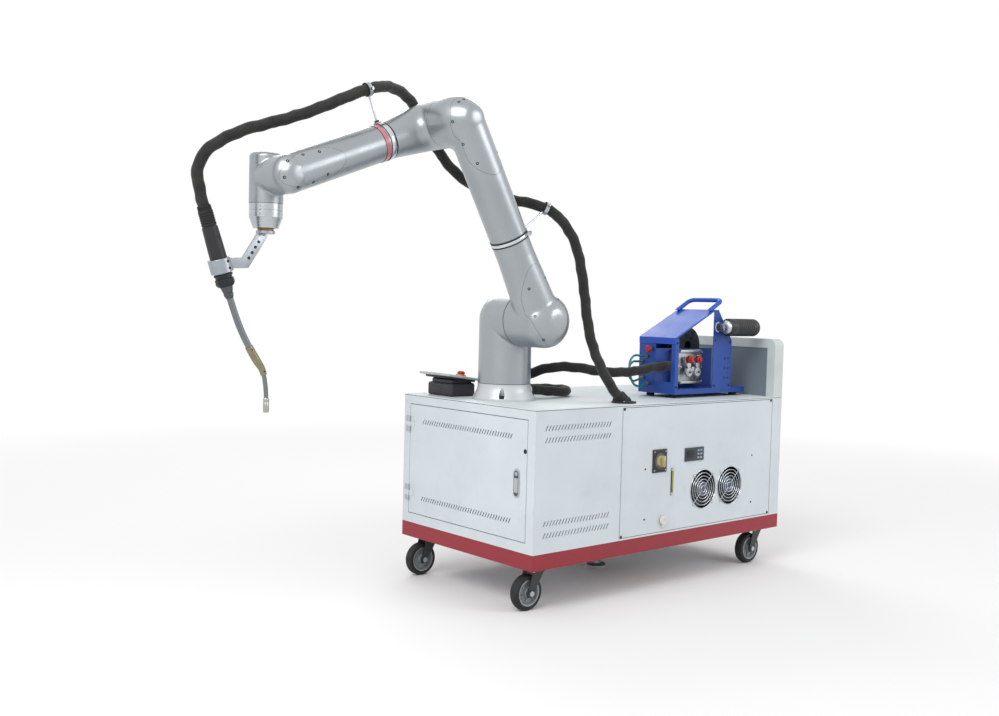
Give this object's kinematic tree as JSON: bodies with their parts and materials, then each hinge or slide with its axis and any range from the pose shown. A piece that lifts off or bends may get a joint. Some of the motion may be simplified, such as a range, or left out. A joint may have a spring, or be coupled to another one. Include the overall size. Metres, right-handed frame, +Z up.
{
  "type": "welding robot arm",
  "caption": "Jointed six-axis robot arm with a welding torch and sleeved hose pack, standing on a wheeled control cabinet with a wire feeder and a hand control.",
  "frame": {"origin": "on the floor under the middle of the cabinet, at the pad of the floor lock", "axes": "+X along the cabinet away from the robot arm, +Y away from the panelled long side, +Z up"},
  "size_m": [2.4005, 0.7793, 1.798],
  "materials": {
    "cabinet_paint": "light grey fine-texture powder coat",
    "frame_red": "satin red powder coat",
    "arm_silver": "satin silver lacquer on cast aluminium",
    "flange_metal": "dark anodised",
    "ring_red": "translucent red plastic",
    "sleeve": "woven textile sleeve",
    "torch_black": "moulded black plastic",
    "torch_metal": "heat-tinted steel",
    "bracket_metal": "milled, clear anodised",
    "clip_steel": "zinc-plated steel with rubber liners",
    "castor_black": "black coated pressed steel",
    "castor_rubber": "black rubber tyre on a grey hub",
    "lock_steel": "grey paint, pale rubber pad",
    "lining_grey": "grey rubber mat",
    "black_plastic": "moulded black plastic",
    "switch_yellow": "moulded olive plastic",
    "gauge_clear": "tinted clear plastic",
    "white_plastic": "moulded white plastic",
    "gland_rubber": "moulded black rubber",
    "feeder_blue": "blue powder coat",
    "drive_metal": "die-cast aluminium",
    "brass": "turned brass",
    "button_red": "red plastic"
  },
  "bodies": {
    "base": {"base_frame": "frame_red", "floor_lock": "lock_steel", "cabinet_shell": "cabinet_paint", "service_panel": "cabinet_paint", "fan_guards": "black_plastic", "switch_plate": "black_plastic", "display": "black_plastic", "level_gauge": "gauge_clear", "drain_cock": "white_plastic", "deck": "cabinet_paint", "end_upright": "cabinet_paint", "upright_lining": "lining_grey", "door_hinges": "clip_steel", "castor_plates": "castor_black", "robot_foot": "arm_silver", "deck_gland": "gland_rubber", "base_cable": "sleeve", "feeder_frame": "feeder_blue", "feeder_cover": "feeder_blue", "drive_unit": "drive_metal", "wire_spool": "black_plastic", "wire_inlet": "black_plastic", "hose_connector": "brass", "pendant": "black_plastic"},
    "door": {"door": "cabinet_paint", "door_latch": "black_plastic"},
    "fan_1": {"fan_rotor_1": "black_plastic"},
    "fan_2": {"fan_rotor_2": "black_plastic"},
    "power_switch": {"switch_knob": "switch_yellow"},
    "stop_button": {"stop_button": "button_red"},
    "column": {"column": "arm_silver", "hose_column": "sleeve"},
    "upper_arm": {"upper_arm": "arm_silver", "shoulder_cover": "arm_silver", "elbow_cover": "arm_silver", "lower_hose_clamp": "clip_steel", "hose_shoulder": "sleeve"},
    "elbow": {"elbow": "arm_silver", "status_ring": "ring_red", "upper_hose_clamp": "clip_steel", "hose_elbow": "sleeve"},
    "forearm": {"forearm": "arm_silver", "forearm_cover": "arm_silver", "hose_forearm": "sleeve"},
    "wrist": {"wrist": "arm_silver", "hose_wrist": "sleeve"},
    "tool": {"tool_flange": "flange_metal", "torch_bracket": "bracket_metal", "torch_body": "torch_black", "torch_neck": "torch_metal", "hose_tool": "sleeve"},
    "castor_fork_door_end_near": {"castor_fork_door_end_near": "castor_black"},
    "castor_wheel_door_end_near": {"castor_wheel_door_end_near": "castor_rubber"},
    "castor_fork_door_end_back": {"castor_fork_door_end_back": "castor_black"},
    "castor_wheel_door_end_back": {"castor_wheel_door_end_back": "castor_rubber"},
    "castor_fork_far_end_near": {"castor_fork_far_end_near": "castor_black"},
    "castor_wheel_far_end_near": {"castor_wheel_far_end_near": "castor_rubber"},
    "castor_fork_far_end_back": {"castor_fork_far_end_back": "castor_black"},
    "castor_wheel_far_end_back": {"castor_wheel_far_end_back": "castor_rubber"}
  },
  "joints": [
    {"name": "j1_base_turn", "type": "hinge", "parent": "base", "child": "column", "pos_m": [-0.52, 0, 0.762], "axis": [0, 0, 1], "range_deg": [-120, 120], "deforming": ["hose_column"]},
    {"name": "j2_shoulder", "type": "hinge", "parent": "column", "child": "upper_arm", "pos_m": [-0.52, -0.095, 0.997], "axis": [0, -1, 0], "range_deg": [-45, 45], "deforming": ["hose_shoulder"]},
    {"name": "j3_elbow", "type": "hinge", "parent": "upper_arm", "child": "elbow", "pos_m": [-0.89349, -0.095, 1.66119], "axis": [0, 1, 0], "range_deg": [-30, 60], "deforming": ["hose_elbow"]},
    {"name": "j4_forearm_roll", "type": "hinge", "parent": "elbow", "child": "forearm", "pos_m": [-1.1154, 0, 1.57243], "axis": [-0.9285, 0, -0.3714], "range_deg": [-120, 120], "deforming": ["hose_forearm"]},
    {"name": "j5_wrist_bend", "type": "hinge", "parent": "forearm", "child": "wrist", "pos_m": [-1.4413, 0.064, 1.44208], "axis": [0, 1, 0], "range_deg": [-60, 60], "deforming": ["hose_wrist"]},
    {"name": "j6_tool_turn", "type": "hinge", "parent": "wrist", "child": "tool", "pos_m": [-1.4413, 0.14, 1.35708], "axis": [0, 0, 1], "range_deg": [-150, 150], "deforming": ["hose_tool"]},
    {"name": "door_swing", "type": "hinge", "parent": "base", "child": "door", "pos_m": [-0.7045, 0.33625, 0.453], "axis": [0, 0, -1], "range_deg": [0, 110]},
    {"name": "fan_1_spin", "type": "hinge", "parent": "base", "child": "fan_1", "pos_m": [0.197, -0.36, 0.355], "axis": [0, 1, 0], "continuous": true},
    {"name": "fan_2_spin", "type": "hinge", "parent": "base", "child": "fan_2", "pos_m": [0.363, -0.36, 0.355], "axis": [0, 1, 0], "continuous": true},
    {"name": "power_switch_turn", "type": "hinge", "parent": "base", "child": "power_switch", "pos_m": [-0.066, -0.385, 0.484], "axis": [0, 1, 0], "range_deg": [0, 90]},
    {"name": "stop_button_press", "type": "slide", "parent": "base", "child": "stop_button", "axis": [-0.1392, 0, -0.9903], "range_m": [0, 0.004]},
    {"name": "castor_swivel_door_end_near", "type": "hinge", "parent": "base", "child": "castor_fork_door_end_near", "pos_m": [-0.625, -0.305, 0.141], "axis": [0, 0, 1], "continuous": true},
    {"name": "castor_roll_door_end_near", "type": "hinge", "parent": "castor_fork_door_end_near", "child": "castor_wheel_door_end_near", "pos_m": [-0.661, -0.305, 0.0625], "axis": [0, 1, 0], "continuous": true},
    {"name": "castor_swivel_door_end_back", "type": "hinge", "parent": "base", "child": "castor_fork_door_end_back", "pos_m": [-0.625, 0.305, 0.141], "axis": [0, 0, 1], "continuous": true},
    {"name": "castor_roll_door_end_back", "type": "hinge", "parent": "castor_fork_door_end_back", "child": "castor_wheel_door_end_back", "pos_m": [-0.661, 0.305, 0.0625], "axis": [0, 1, 0], "continuous": true},
    {"name": "castor_swivel_far_end_near", "type": "hinge", "parent": "base", "child": "castor_fork_far_end_near", "pos_m": [0.625, -0.305, 0.141], "axis": [0, 0, 1], "continuous": true},
    {"name": "castor_roll_far_end_near", "type": "hinge", "parent": "castor_fork_far_end_near", "child": "castor_wheel_far_end_near", "pos_m": [0.589, -0.305, 0.0625], "axis": [0, 1, 0], "continuous": true},
    {"name": "castor_swivel_far_end_back", "type": "hinge", "parent": "base", "child": "castor_fork_far_end_back", "pos_m": [0.625, 0.305, 0.141], "axis": [0, 0, 1], "continuous": true},
    {"name": "castor_roll_far_end_back", "type": "hinge", "parent": "castor_fork_far_end_back", "child": "castor_wheel_far_end_back", "pos_m": [0.589, 0.305, 0.0625], "axis": [0, 1, 0], "continuous": true}
  ]
}
